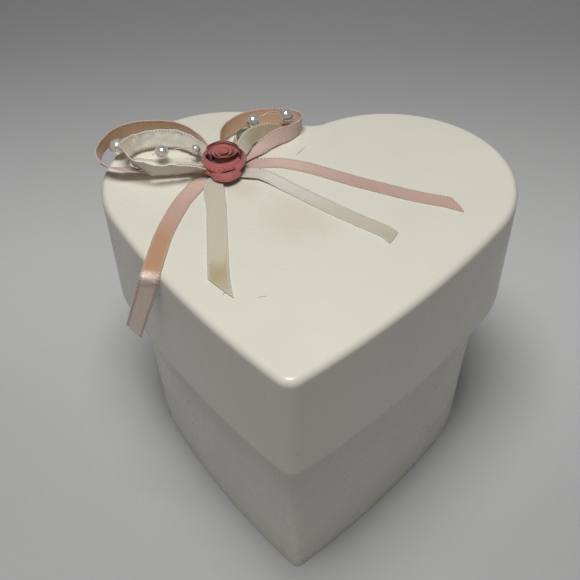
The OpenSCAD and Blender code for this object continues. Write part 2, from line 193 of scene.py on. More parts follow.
class Effects:
    """The effects that more than one finish uses, each built once."""

    def __init__(self) -> None:
        """Builds them."""
        self.specks = self._specks()
        self.weave = self._weave()
        self.selvedge = self._selvedge()
        self.blotch = self._blotch()
        self.hair = self._hair()

    @staticmethod
    def _specks() -> NodeTree:
        """Scattered dust specks: Mask is 1 on a speck."""
        sheet, given, end = group(
            "Dust specks",
            {"Vector": "Vector", "Scale": "Float", "Share": "Float", "Size": "Float"},
            {"Mask": "Float"},
        )
        cells = sheet.add("TexVoronoi", {"feature": "F1"}, Vector=given["Vector"], Scale=given["Scale"])
        split = sheet.add("SeparateColor", None, Color=cells.outputs["Color"])
        chosen = sheet.math("LESS_THAN", split.outputs[0], given["Share"])
        radius = sheet.times(given["Size"], sheet.plus(split.outputs[1], 0.3))
        near = sheet.minus(1.0, sheet.math("DIVIDE", cells.outputs["Distance"], radius), clamp=True)
        sheet.feed(end.inputs["Mask"], sheet.times(sheet.math("POWER", near, 0.6), chosen))
        return sheet.tree

    @staticmethod
    def _weave() -> NodeTree:
        """Satin weave on a UV map in millimetres: fine warp lines lengthways, broken by short floats."""
        sheet, given, end = group(
            "Satin weave", {"UV": "Vector", "Pitch": "Float"}, {"Height": "Float", "Tone": "Float"}
        )
        split = sheet.add("SeparateXYZ", None, Vector=given["UV"])
        turn = sheet.math("DIVIDE", 2 * math.pi, given["Pitch"])
        warp = sheet.math("SINE", sheet.times(split.outputs[0], turn))
        skewed = sheet.plus(sheet.times(split.outputs[1], 0.45), sheet.times(split.outputs[0], 1.7))
        weft = sheet.math("SINE", sheet.times(skewed, turn))
        both = sheet.times(sheet.plus(warp, sheet.times(weft, 0.55)), 0.32)
        long_grain = sheet.add("Mapping", None, Vector=given["UV"], Scale=(9.0, 0.55, 1.0))
        slub = sheet.noise(long_grain.outputs[0], 1.0, 2.0)
        sheet.feed(end.inputs["Height"], sheet.plus(sheet.plus(both, 0.5), sheet.times(slub, 0.5)))
        sheet.feed(end.inputs["Tone"], slub)
        return sheet.tree

    @staticmethod
    def _selvedge() -> NodeTree:
        """Woven edge of a ribbon: Edge is 1 in the band beside each edge, Stitch 1 between its stitches."""
        sheet, given, end = group(
            "Ribbon selvedge",
            {"UV": "Vector", "Half Width": "Float", "Band": "Float", "Pitch": "Float"},
            {"Edge": "Float", "Stitch": "Float"},
        )
        split = sheet.add("SeparateXYZ", None, Vector=given["UV"])
        inside = sheet.minus(given["Half Width"], sheet.math("ABSOLUTE", split.outputs[0]))
        edge = sheet.minus(1.0, sheet.math("DIVIDE", inside, given["Band"]), clamp=True)
        wave = sheet.math("SINE", sheet.times(split.outputs[1], sheet.math("DIVIDE", 2 * math.pi, given["Pitch"])))
        centred = sheet.minus(1.0, sheet.math("ABSOLUTE", sheet.minus(sheet.times(edge, 2.0), 1.0)))
        gap = sheet.spread(wave, 0.1, 0.75)
        sheet.feed(end.inputs["Edge"], sheet.spread(edge, 0.0, 0.35))
        sheet.feed(end.inputs["Stitch"], sheet.times(gap, centred))
        return sheet.tree

    @staticmethod
    def _blotch() -> NodeTree:
        """A soft stain with a ragged outline round a centre: Mask is 1 in its middle."""
        sheet, given, end = group(
            "Stain", {"Vector": "Vector", "Centre": "Vector", "Radius": "Float", "Ragged": "Float"}, {"Mask": "Float"}
        )
        away = sheet.vector("SUBTRACT", given["Vector"], given["Centre"])
        reach = sheet.math("DIVIDE", sheet.vector("LENGTH", away), given["Radius"])
        rough = sheet.minus(sheet.noise(given["Vector"], 260.0, 4.0, 0.6), 0.5)
        ragged = sheet.plus(reach, sheet.times(rough, given["Ragged"]))
        sheet.feed(end.inputs["Mask"], sheet.spread(ragged, 0.25, 1.0, 1.0, 0.0))
        return sheet.tree

    @staticmethod
    def _hair() -> NodeTree:
        """A loose fibre lying on a level surface: Mask is 1 on it."""
        sheet, given, end = group(
            "Loose fibre",
            {"Vector": "Vector", "Centre": "Vector", "Turn": "Vector", "Reach": "Vector", "Curl": "Float"},
            {"Mask": "Float"},
        )
        bend = sheet.add("TexNoise", None, Vector=given["Vector"], Scale=420.0, Detail=1.0).outputs["Color"]
        off = sheet.vector("SUBTRACT", bend, (0.5, 0.5, 0.5))
        scaled = sheet.add("VectorMath", {"operation": "SCALE"}, Scale=given["Curl"])
        sheet.feed(scaled.inputs[0], off)
        moved = sheet.vector("ADD", given["Vector"], scaled.outputs["Vector"])
        own = sheet.add(
            "Mapping", {"vector_type": "TEXTURE"}, Vector=moved, Location=given["Centre"], Rotation=given["Turn"],
            Scale=given["Reach"],
        )
        sheet.feed(end.inputs["Mask"], sheet.spread(sheet.vector("LENGTH", own.outputs[0]), 0.6, 1.0, 1.0, 0.0))
        return sheet.tree


EFFECTS = Effects()


def new_material(name: str) -> tuple[Sheet, Node]:
    """Starts a material; returns its sheet and its Principled BSDF, joined to the output."""
    material = bpy.data.materials.new(name)
    material.use_nodes = True
    sheet = Sheet(material.node_tree)
    shader = sheet.add("BsdfPrincipled")
    out = sheet.add("OutputMaterial")
    sheet.feed(out.inputs["Surface"], shader.outputs[0])
    return sheet, shader


def raise_normal(sheet: Sheet, shader: Node, height: object, distance: float) -> None:
    """Feeds a height to the shader's normal through one Bump node."""
    bump = sheet.add("Bump", None, Strength=1.0, Distance=distance, Height=height)
    sheet.feed(shader.inputs["Normal"], bump.outputs["Normal"])


def rgb(red: float, green: float, blue: float) -> Colour:
    """An opaque linear colour."""
    return (red, green, blue, 1.0)


@dataclass(frozen=True)
class Stain:
    """A soft discoloured patch: where its middle is in metres, its radius, how strong it is and its colour."""

    centre: Triple
    radius: float
    strength: float
    colour: Colour
    ragged: float = 0.8


@dataclass(frozen=True)
class Fibre:
    """A loose fibre: where its middle is in metres, its angle in degrees, its half length in metres and its curl."""

    centre: Triple
    angle: float
    reach: float
    curl: float = 0.0


@dataclass(frozen=True)
class Dust:
    """Scattered marks: cells in a metre, the share of them that hold one, its size in cells, and how it shows."""

    scale: float
    share: float
    size: float
    strength: float
    tint: Colour


@dataclass(frozen=True)
class IvoryPlastic:
    """Glossy moulded ivory plastic with faint mottling, dust, grit, loose fibres, an old glue stain and soft darker
    patches.
    """

    name: str
    stains: tuple[Stain, ...] = ()
    fibres: tuple[Fibre, ...] = ()
    colour: Colour = rgb(0.8, 0.785, 0.69)
    shade: Colour = rgb(0.73, 0.715, 0.62)
    dust: Dust = Dust(620.0, 0.22, 0.13, 0.08, rgb(0.34, 0.31, 0.25))
    grit: Dust = Dust(120.0, 0.16, 0.09, 0.8, rgb(0.1, 0.085, 0.065))
    fibre_tint: Colour = rgb(0.12, 0.1, 0.085)
    fibre_size: Pair = (0.00008, 0.002)
    fibre_strength: float = 0.8
    mottle: float = 38.0
    film: float = 95.0
    ripple: float = 55.0
    ripple_height: float = 0.00015
    gloss: Pair = (0.22, 0.37)
    grit_dulling: float = 0.15

    def build(self) -> Material:
        """Builds the material."""
        sheet, shader = new_material(self.name)
        where = sheet.place()
        cloud = sheet.noise(where, self.mottle, 3.0, 0.55)
        colour = sheet.mix(sheet.spread(cloud, 0.35, 0.75, 0.0, 0.5), self.colour, self.shade)
        for stain in self.stains:
            mark = sheet.use(
                EFFECTS.blotch, Vector=where, Centre=stain.centre, Radius=stain.radius, Ragged=stain.ragged
            ).outputs["Mask"]
            colour = sheet.mix(sheet.times(mark, stain.strength), colour, stain.colour)
        for dust in (self.dust, self.grit):
            mark = sheet.use(
                EFFECTS.specks, Vector=where, Scale=dust.scale, Share=dust.share, Size=dust.size
            ).outputs["Mask"]
            colour = sheet.mix(sheet.times(mark, dust.strength), colour, dust.tint)
        dulled = sheet.times(mark, self.grit_dulling)
        for fibre in self.fibres:
            mark = sheet.use(
                EFFECTS.hair, Vector=where, Centre=fibre.centre, Turn=(0.0, 0.0, math.radians(fibre.angle)),
                Reach=(fibre.reach, *self.fibre_size), Curl=fibre.curl,
            ).outputs["Mask"]
            colour = sheet.mix(sheet.times(mark, self.fibre_strength), colour, self.fibre_tint)
        film = sheet.noise(where, self.film, 4.0, 0.6)
        sheet.drive(
            shader, Base_Color=colour, Roughness=sheet.plus(sheet.spread(film, 0.3, 0.75, *self.gloss), dulled),
            IOR=1.5, Specular_IOR_Level=0.45, Subsurface_Weight=0.0,
        )
        raise_normal(sheet, shader, sheet.noise(where, self.ripple, 2.0, 0.5), self.ripple_height)
        return bpy.data.materials[self.name]


@dataclass(frozen=True)
class Satin:
    """Single-face satin ribbon: colours along its length, a fine weave, a stitched selvedge, and painted glints on
    one stretch.
    """

    name: str
    stops: tuple[tuple[float, Colour], ...]
    edge: Colour
    gap: Colour
    roughness: float = 0.42
    shine: float = 0.0
    painted_glints: float = 0.0
    shine_from: float = -1.0
    half_width: float = 1.5
    weave_pitch: float = 0.2
    stitch_pitch: float = 0.56
    band: float = 0.44
    relief: float = 0.00006
    glint_scale: float = 2600.0
    glint_tint: Colour = rgb(1.0, 0.94, 0.9)
    wander: float = 0.12

    def build(self) -> Material:
        """Builds the material."""
        sheet, shader = new_material(self.name)
        uv = sheet.add("UVMap", {"uv_map": "ribbon"}).outputs["UV"]
        along = sheet.add("Attribute", {"attribute_name": "along"}).outputs["Fac"]
        where = sheet.place()
        wander = sheet.times(sheet.minus(sheet.noise(where, 300.0, 3.0), 0.5), self.wander)
        ramp = sheet.add("ValToRGB", None, Fac=sheet.plus(along, wander))
        bar = ramp.color_ramp
        bar.interpolation = "EASE"
        while len(bar.elements) < len(self.stops):
            bar.elements.new(0.5)
        for element, (place, colour) in zip(bar.elements, self.stops):
            element.position = place
            element.color = colour
        weave = sheet.use(EFFECTS.weave, UV=uv, Pitch=self.weave_pitch)
        rim = sheet.use(
            EFFECTS.selvedge, UV=uv, Half_Width=self.half_width, Band=self.band, Pitch=self.stitch_pitch
        )
        tone = sheet.spread(weave.outputs["Tone"], 0.25, 0.75)
        body = sheet.mix(sheet.times(tone, 0.3), ramp.outputs["Color"], rgb(0.9, 0.9, 0.9), "MULTIPLY")
        body = sheet.mix(sheet.times(weave.outputs["Height"], 0.12), body, rgb(1, 1, 1), "SOFT_LIGHT")
        # Painted glints: from shine_from on, near-white noise specks are mixed into the colour as a painted satin
        # sparkle, and the same stretch also gets metallic.
        bright = sheet.spread(along, self.shine_from, self.shine_from + 0.05)
        glint = sheet.spread(sheet.noise(where, self.glint_scale, 2.0, 0.7), 0.46, 0.66, 0.0, self.painted_glints)
        body = sheet.mix(sheet.times(glint, bright), body, self.glint_tint)
        edged = sheet.mix(sheet.times(rim.outputs["Edge"], 0.6), body, self.edge)
        stitched = sheet.mix(sheet.times(rim.outputs["Stitch"], 0.55), edged, self.gap)
        dull = sheet.spread(weave.outputs["Height"], 0.2, 1.1, self.roughness + 0.08, self.roughness - 0.06)
        sheet.drive(
            shader, Base_Color=stitched, Roughness=dull, Metallic=sheet.times(bright, self.shine),
            Specular_IOR_Level=0.55, Anisotropic=0.5, Sheen_Weight=0.35, Sheen_Roughness=0.4, Subsurface_Weight=0.0,
        )
        sunk = sheet.plus(sheet.times(rim.outputs["Stitch"], -1.4), sheet.times(rim.outputs["Edge"], 0.5))
        raise_normal(sheet, shader, sheet.plus(sunk, weave.outputs["Height"]), self.relief)
        return bpy.data.materials[self.name]


@dataclass(frozen=True)
class Nacre:
    """Pearl lustre on a bead."""

    name: str = "Pearl lustre"

    def build(self) -> Material:
        """Builds the material."""
        sheet, shader = new_material(self.name)
        where = sheet.place()
        cloud = sheet.noise(where, 900.0, 3.0)
        sheet.drive(
            shader,
            Base_Color=sheet.mix(sheet.spread(cloud, 0.3, 0.7), rgb(0.9, 0.87, 0.8), rgb(0.86, 0.84, 0.82)),
            Roughness=sheet.spread(sheet.noise(where, 2500.0, 2.0), 0.3, 0.7, 0.1, 0.18),
            Metallic=sheet.spread(cloud, 0.2, 0.8, 0.5, 0.68),
            Coat_Weight=0.6, Coat_Roughness=0.06, IOR=1.55,
        )
        raise_normal(sheet, shader, sheet.noise(where, 1200.0, 2.0), 0.00004)
        return bpy.data.materials[self.name]


@dataclass(frozen=True)
class Spun:
    """Thread, clear filament or hot glue: a plain colour broken by streaks, with its own gloss."""

    name: str
    colour: Colour
    streak: Colour
    roughness: float
    scale: float
    transmission: float = 0.0
    bump: float = 0.00005

    def build(self) -> Material:
        """Builds the material."""
        sheet, shader = new_material(self.name)
        where = sheet.place()
        streaks = sheet.noise(where, self.scale, 3.0, 0.6)
        sheet.drive(
            shader,
            Base_Color=sheet.mix(sheet.spread(streaks, 0.3, 0.7), self.colour, self.streak),
            Roughness=sheet.spread(streaks, 0.3, 0.7, self.roughness, self.roughness + 0.12),
            Transmission_Weight=self.transmission, IOR=1.48,
        )
        raise_normal(sheet, shader, streaks, self.bump)
        return bpy.data.materials[self.name]


@dataclass(frozen=True)
class Paper:
    """Pale studio paper with painted light: paler in a band across the middle of the floor than in front of it or
    behind, a painted pool of light.
    """

    name: str = "Studio paper"
    front: tuple[Colour, Colour] = (rgb(0.55, 0.552, 0.562), rgb(0.53, 0.532, 0.542))
    painted_light_bands: tuple[tuple[float, float, Colour], ...] = (
        (-0.03, 0.06, rgb(0.76, 0.762, 0.772)), (0.06, 0.19, rgb(0.56, 0.562, 0.57)),
    )

    def build(self) -> Material:
        """Builds the material."""
        sheet, shader = new_material(self.name)
        where = sheet.place()
        cloud = sheet.noise(where, 14.0, 3.0)
        colour = sheet.mix(sheet.spread(cloud, 0.3, 0.7), *self.front)
        back = sheet.add("SeparateXYZ", None, Vector=where).outputs[1]
        # Painted light: each band paints the paper paler or darker by distance back, as a pool of light and its
        # falloff.
        for start, end, tone in self.painted_light_bands:
            colour = sheet.mix(sheet.spread(back, start, end), colour, tone)
        sheet.drive(shader, Base_Color=colour, Roughness=sheet.spread(cloud, 0.3, 0.7, 0.75, 0.9))
        raise_normal(sheet, shader, sheet.noise(where, 700.0, 3.0), 0.0001)
        return bpy.data.materials[self.name]


# ---------------------------------------------------------------- mesh building


def linked(name: str, data: ID) -> Object:
    """Adds an object to the scene."""
    thing = bpy.data.objects.new(name, data)
    bpy.context.scene.collection.objects.link(thing)
    return thing


def surface(mesh: BMesh, name: str, material: Material) -> Mesh:
    """Turns a finished bmesh into smooth mesh data with one finish."""
    data = bpy.data.meshes.new(name)
    mesh.to_mesh(data)
    mesh.free()
    data.shade_smooth()
    data.materials.append(material)
    return data


def thicken(piece: Object, thickness: float) -> Modifier:
    """Gives a thin piece its thickness in millimetres, half on each side."""
    solid = piece.modifiers.new("Thickness", "SOLIDIFY")
    solid.thickness = thickness * MM
    solid.offset = 0.0
    return solid


def keep(
    mesh: BMesh,
    name: str,
    material: Material,
    body: Body,
    replaces: Iterable[str] = (),
    sharp: float = 50.0,
    outward: bool = True,
) -> Object:
    """Turns a finished bmesh into a piece that rides on its body.

    Args:
        mesh: the geometry in metres, in the shared frame.
        name: the piece's name.
        material: its finish.
        body: the body it moves with.
        replaces: the nodes it stands for.
        sharp: the angle in degrees past which an edge stays crisp.
        outward: whether to turn its faces outwards.

    Returns:
        The new object.
    """
    if outward:
        bmesh.ops.recalc_face_normals(mesh, faces=mesh.faces)
    data = surface(mesh, name, material)
    data.set_sharp_from_angle(angle=math.radians(sharp))
    piece = linked(name, data)
    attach(piece, body.value)
    if replaces:
        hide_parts(*replaces)
    LOG.info("%s: %d vertices, rides on %s", name, len(data.vertices), body.value)
    return piece


def spline_point(points: Sequence[Sequence[float]], where: float) -> list[float]:
    """A point of the smooth curve through every given point, where counts the spans from the first."""
    last = len(points) - 1
    i = min(int(where), last - 1)
    t = where - i
    a, b, c, d = (points[max(i - 1, 0)], points[i], points[i + 1], points[min(i + 2, last)])
    return [
        0.5 * (2 * q + (r - p) * t + (2 * p - 5 * q + 4 * r - s) * t * t + (3 * q - p - 3 * r + s) * t**3)
        for p, q, r, s in zip(a, b, c, d)
    ]


def frames_along(points: Sequence[Vector]) -> list[Matrix]:
    """A placed frame at each point of a line, with Z along it and as little turning as its bends allow."""
    frames: list[Matrix] = []
    side = None
    for i, point in enumerate(points):
        ahead = (points[min(i + 1, len(points) - 1)] - points[max(i - 1, 0)]).normalized()
        if side is None:
            side = ahead.orthogonal().normalized()
        side = (side - ahead * side.dot(ahead)).normalized()
        turned = Matrix((side, ahead.cross(side), ahead)).transposed().to_4x4()
        frames.append(Matrix.Translation(point) @ turned)
    return frames


def add_tube(mesh: BMesh, points: Sequence[Vector], radius: float, sides: int) -> None:
    """Adds a round closed tube along a line.

    Args:
        mesh: the bmesh that gets it.
        points: its centre line.
        radius: its radius.
        sides: its number of sides.
    """
    frames = frames_along(points)
    ring = bmesh.ops.create_circle(mesh, segments=sides, radius=radius, matrix=frames[0], cap_ends=True)["verts"]
    edges = [e for e in mesh.edges if e.verts[0] in ring and e.verts[1] in ring]
    for before, after in zip(frames, frames[1:]):
        grown = bmesh.ops.extrude_edge_only(mesh, edges=edges)["geom"]
        ring = [v for v in grown if isinstance(v, BMVert)]
        edges = [e for e in grown if isinstance(e, BMEdge)]
        step = after @ before.inverted()
        bmesh.ops.transform(mesh, matrix=step, verts=ring)
    bmesh.ops.edgeloop_fill(mesh, edges=edges)


def wobble(point: Vector, scale: float, amount: float, seed: float) -> float:
    """Smooth repeatable unevenness at a point."""
    return noise.noise(point * scale + Vector((seed, seed * 1.7, -seed))) * amount


@dataclass
class HeartShape:
    """The heart outline: round lobes, long side curves, a rounded notch and a tip, in millimetres."""

    width: float = 70.0
    length: float = 66.4
    lobe_r: float = 20.8
    side_r: float = 171.5
    notch_r: float = 3.8
    tip_r: float = 2.6
    notch_steps: int = 10
    lobe_steps: int = 48
    side_steps: int = 20
    tip_steps: int = 10

    def __post_init__(self) -> None:
        """Works out the arcs' centres, which meet at common tangents."""
        self.lobe_x = self.width / 2 - self.lobe_r
        self.lobe_y = self.length / 2 - self.lobe_r
        tip_y = self.length - self.lobe_r - self.tip_r
        chord = math.hypot(self.lobe_x, tip_y)
        long_r, short_r = self.side_r - self.tip_r, self.side_r - self.lobe_r
        along = (short_r**2 - long_r**2 + chord**2) / (2 * chord)
        across = math.sqrt(short_r**2 - along**2)
        self.side_x = self.lobe_x - (self.lobe_x * along + tip_y * across) / chord
        self.side_y = (self.lobe_x * across - tip_y * along) / chord
        self.notch_y = math.sqrt((self.lobe_r + self.notch_r) ** 2 - self.lobe_x**2)

    def ring(self, mesh: BMesh, inset: float, tip: float, height: float) -> list[BMEdge]:
        """Spins the outline's arcs at a height.

        Args:
            mesh: the bmesh that gets it.
            inset: how far it is moved in from the full outline, in millimetres.
            tip: the tip's radius there.
            height: its height.

        Returns:
            The closed loop's edges.
        """
        tip_y = self.side_y - math.sqrt((self.side_r - inset - tip) ** 2 - self.side_x**2)
        a_notch = math.atan2(-self.notch_y, self.lobe_x)
        a_lobe = math.atan2(self.notch_y, -self.lobe_x)
        a_side = math.atan2(-self.side_y, self.lobe_x - self.side_x)
        a_tip = math.atan2(tip_y - self.side_y, -self.side_x)
        quarter = math.pi / 2
        arcs = (
            ((0.0, self.notch_y), a_notch + quarter, self.notch_steps),
            ((self.lobe_x, 0.0), a_side - a_lobe, self.lobe_steps),
            ((self.side_x, self.side_y), a_tip - a_side, self.side_steps),
            ((0.0, tip_y), -quarter - a_tip, self.tip_steps),
        )
        start = Vector((0.0, self.notch_y - self.notch_r - inset + self.lobe_y, height)) * MM
        made = [mesh.verts.new(start)]
        last: list = made[:]
        for (x, y), angle, steps in arcs:
            before = set(mesh.verts)
            centre = Vector((x, y + self.lobe_y, height)) * MM
            last = bmesh.ops.spin(mesh, geom=last, cent=centre, axis=UP, angle=angle, steps=steps)["geom_last"]
            made += [v for v in mesh.verts if v not in before]
        edges = {e for v in made for e in v.link_edges}
        twin = bmesh.ops.duplicate(mesh, geom=made + list(edges))["geom"]
        flipped = [v for v in twin if isinstance(v, BMVert)]
        bmesh.ops.scale(mesh, vec=(-1, 1, 1), verts=flipped)
        bmesh.ops.remove_doubles(mesh, verts=made + flipped, dist=0.01 * MM)
        return list({e for v in made + flipped if v.is_valid for e in v.link_edges})


def round_over(z: float, inset: float, radius: float, tip: float, steps: int) -> list[Triple]:
    """Levels of an outside corner that ends at height z and rounds inwards."""
    turns = [math.pi / 2 * i / steps for i in range(steps + 1)]
    cuts = [(radius * math.sin(a), radius * (1 - math.cos(a))) for a in turns]
    return [(z - radius + rise, inset + cut, max(tip - cut, LEAST_TIP_R)) for rise, cut in cuts]


def round_under(z: float, inset: float, radius: float, tip: float, steps: int) -> list[Triple]:
    """Levels of an outside corner that starts at height z and rounds outwards."""
    turns = [math.pi / 2 * i / steps for i in range(steps + 1)]
    cuts = [(radius * (1 - math.cos(a)), radius * (1 - math.sin(a))) for a in turns]
    return [(z + rise, inset + cut, max(tip - cut, LEAST_TIP_R)) for rise, cut in cuts]


def heart_skin(shape: HeartShape, levels: Sequence[Triple]) -> BMesh:
    """Lofts one closed skin through levels of height, inset and tip radius, and closes both ends.

    Args:
        shape: the outline.
        levels: where each ring lies, from the underside round to the last face.

    Returns:
        The bmesh.
    """
    mesh = bmesh.new()
    rings = [shape.ring(mesh, inset, tip, z) for z, inset, tip in levels]
    for below, above in zip(rings, rings[1:]):
        bmesh.ops.bridge_loops(mesh, edges=below + above)
    for ring in (rings[0], rings[-1]):
        cap = bmesh.ops.edgeloop_fill(mesh, edges=ring)["faces"]
        bmesh.ops.inset_region(mesh, faces=cap, thickness=FACE_BORDER * MM, use_even_offset=True)
    return mesh


@dataclass
class Shells:
    """The moulded base and lid, in millimetres."""

    shape: HeartShape = field(default_factory=HeartShape)
    lid_h: float = 21.2
    lid_top_t: float = 2.0
    lid_wall: float = 2.0
    lid_edge_r: float = 1.2
    base_h: float = 56.5
    base_wall: float = 1.8
    base_floor: float = 2.0
    base_draft: float = 1.7
    base_tip_r: float = 1.5
    floor_fillet: float = 2.0
    foot_recess: float = 1.0
    foot_w: float = 1.6
    fit_gap: float = 0.5
    edge_round: float = 0.3
    rim_round: float = 0.4
    inner_corner_r: float = 0.5

    def inset(self, z: float) -> float:
        """How far the base's outside is moved in from the lid's outline at a height."""
        return self.lid_wall + self.fit_gap + self.base_draft * (1 - z / self.base_h)

    def base(self, finish: Material) -> Object:
        """The base: foot ring, drafted wall, rounded rim, and the hollow with its floor fillet."""
        floor_top = self.foot_recess + self.base_floor
        foot = self.inset(0) + self.foot_w
        rim = self.inset(self.base_h) + self.base_wall
        well_inset = self.inset(floor_top) + self.base_wall
        levels = [
            (self.foot_recess, foot + 0.05, LEAST_TIP_R),
            (self.foot_recess - 0.1, foot, LEAST_TIP_R),
            (0.1, foot, LEAST_TIP_R),
            (0.0, foot - 0.1, LEAST_TIP_R),
            *round_under(0, self.inset(0), self.edge_round, self.base_tip_r, 4),
            *[(z, self.inset(z), self.base_tip_r) for z in (1.0, 12.0, 24.0, 36.0, 48.0, 55.6)],
            *round_over(self.base_h, self.inset(self.base_h), self.rim_round, self.base_tip_r, 4),
            (self.base_h, rim - self.rim_round, LEAST_TIP_R),
            (self.base_h - self.rim_round, rim, LEAST_TIP_R),
            (self.base_h - 2.0, rim, LEAST_TIP_R),
            *round_under(floor_top, well_inset, self.floor_fillet, LEAST_TIP_R, 6)[::-1],
        ]
        return keep(heart_skin(self.shape, levels), "base_body", finish, Body.BASE, ["base"])

    def lid(self, finish: Material) -> Object:
        """The lid: hollow underside, rounded lower edge, plain skirt and a rolled top edge."""
        top = self.base_h + self.lid_top_t
        bottom = top - self.lid_h
        tip = self.shape.tip_r
        levels = [
            *round_over(self.base_h, self.lid_wall, self.inner_corner_r, LEAST_TIP_R, 4)[::-1],
            (self.base_h - 2.0, self.lid_wall, LEAST_TIP_R),
            (bottom + self.edge_round + 0.4, self.lid_wall, LEAST_TIP_R),
            (bottom + self.edge_round, self.lid_wall, LEAST_TIP_R),
            (bottom, self.lid_wall - self.edge_round, LEAST_TIP_R),
            *round_under(bottom, 0, self.edge_round, tip, 4),
            *[(bottom + z, 0.0, tip) for z in (0.8, 7.0, 13.0)],
            (top - self.lid_edge_r - 0.6, 0.0, tip),
            *round_over(top, 0, self.lid_edge_r, tip, 10),
        ]
        return keep(heart_skin(self.shape, levels), "lid_shell", finish, Body.LID, ["lid"])


@dataclass
class Ribbon:
    """A flat ribbon along a route of [x, y, z, lean, width share] in millimetres from the bow's middle."""

    name: str
    route: Route
    slot: str
    width: float = 3.0
    thickness: float = 0.15
    steps: int = 10
    columns: int = 12
    across: Vector | None = None
    cut: float = 0.0
    longer: Side = Side.SQUARE
    crinkle: float = 0.05
    seed: float = 1.0
    rim_share: float = 0.4
    body_share: float = 0.62

    def samples(self, where: float) -> tuple[Vector, Vector, Vector, float]:
        """The centre, width direction, face direction and width at a place counted in spans."""
        last = len(self.route) - 1
        here = spline_point(self.route, where)
        ahead = Vector(spline_point(self.route, min(where + 0.1, last))[:3])
        behind = Vector(spline_point(self.route, max(where - 0.1, 0))[:3])
        along = (ahead - behind).normalized()
        level = self.across if self.across is not None else Vector((-along.y, along.x, 0))
        side = (level - along * level.dot(along)).normalized()
        up = along.cross(side)
        lean = math.radians(here[3])
        wide = side * math.cos(lean) + up * math.sin(lean)
        return Vector(here[:3]), wide, wide.cross(along) * -1, self.width * here[4]

    def build(self, bow: Vector, finish: Material) -> Object:
        """Builds the ribbon as a thin closed solid with thicker selvedges.

        Args:
            bow: the bow's middle on the lid's top, in millimetres.
            finish: its satin.

        Returns:
            The piece.
        """
        spans = len(self.route) - 1
        rows = spans * self.steps
        mesh = bmesh.new()
        bmesh.ops.create_grid(mesh, x_segments=self.columns, y_segments=rows, size=0.5)
        uv = mesh.loops.layers.uv.new("ribbon")
        run = [0.0]
        centres = [self.samples(i / self.steps)[0] for i in range(rows + 1)]
        for a, b in zip(centres, centres[1:]):
            run.append(run[-1] + (b - a).length)
        along = mesh.verts.layers.float.new("along")
        flat: dict[BMVert, Pair] = {}
        for vert in mesh.verts:
            v = vert.co.x
            where = (vert.co.y + 0.5) * rows
            where *= 1 - self.cut * (0.5 - v * self.longer.value) / run[-1]
            low = min(int(where), rows - 1)
            length = run[low] + (run[low + 1] - run[low]) * (where - low)
            centre, wide, face, width = self.samples(where / self.steps)
            point = bow + centre + wide * v * width
            lift = wobble(Vector((v * 1.5, length, 0)), 0.55, self.crinkle, self.seed)
            lift += wobble(Vector((v * 4, length * 2.2, 3)), 0.8, self.crinkle * 0.45, self.seed + 5)
            vert.co = (point + face * lift) * MM
            flat[vert] = (v * self.width, length)
            vert[along] = length / run[-1]
        for face in mesh.faces:
            for loop in face.loops:
                loop[uv].uv = flat[loop.vert]
        edge = self.width * self.rim_share
        rims = {vert.index: 1.0 if abs(x) > edge else self.body_share for vert, (x, _) in flat.items()}
        piece = keep(mesh, self.name, finish, Body.LID, [self.name], 60.0, False)
        weights = piece.vertex_groups.new(name="body")
        for index, share in rims.items():
            weights.add([index], share, "REPLACE")
        piece.name = "satin_" + self.name
        solid = thicken(piece, self.thickness)
        solid.vertex_group = "body"
        solid.use_even_offset = True
        return piece


@dataclass(frozen=True)
class Petal:
    """One folded petal: its angles in degrees, the radius and height of its foot, fold and turned-down edge."""

    start: float
    end: float
    foot: Pair
    fold: Pair
    edge: Pair
    tuck: float = 0.12
    drop: float = 0.35
    facets: int = 2

    def point(self, u: float, v: float, seed: float) -> Vector:
        """A point of the petal, u round it and v from its foot over the fold to its edge."""
        (r0, z0), (r1, z1), (r2, z2) = self.foot, self.fold, self.edge
        profile = (
            (r0, z0), (r0 + (r1 - r0) * 0.75, z0 + (z1 - z0) * 0.62), (r1 - 0.05, z1 - 0.07), (r1 + 0.06, z1),
            (r1 + 0.22, z1 - 0.1), ((r1 + r2) / 2 + 0.1, (z1 + z2) / 2 + 0.08), (r2, z2),
        )
        radius, height = spline_point(profile, v * (len(profile) - 1))
        half = math.radians(self.end - self.start) / self.facets / 2
        chord = math.cos(half) / math.cos(half * (2 * ((u * self.facets) % 1.0) - 1))
        radius *= 1 - 0.5 * v * (1 - chord)
        full = math.sin(math.pi * min(max(u, 0.0), 1.0)) ** 0.45
        angle = math.radians(self.start + (self.end - self.start) * u)
        shrink = 1 - self.tuck * (1 - full)
        ripple = noise.noise(Vector((math.cos(angle), math.sin(angle), seed)) * 1.6) * 0.28 * v
        radius = radius * shrink + ripple
        height -= self.drop * (1 - full) * v - ripple * 0.45
        return Vector((radius * math.cos(angle), radius * math.sin(angle), height))


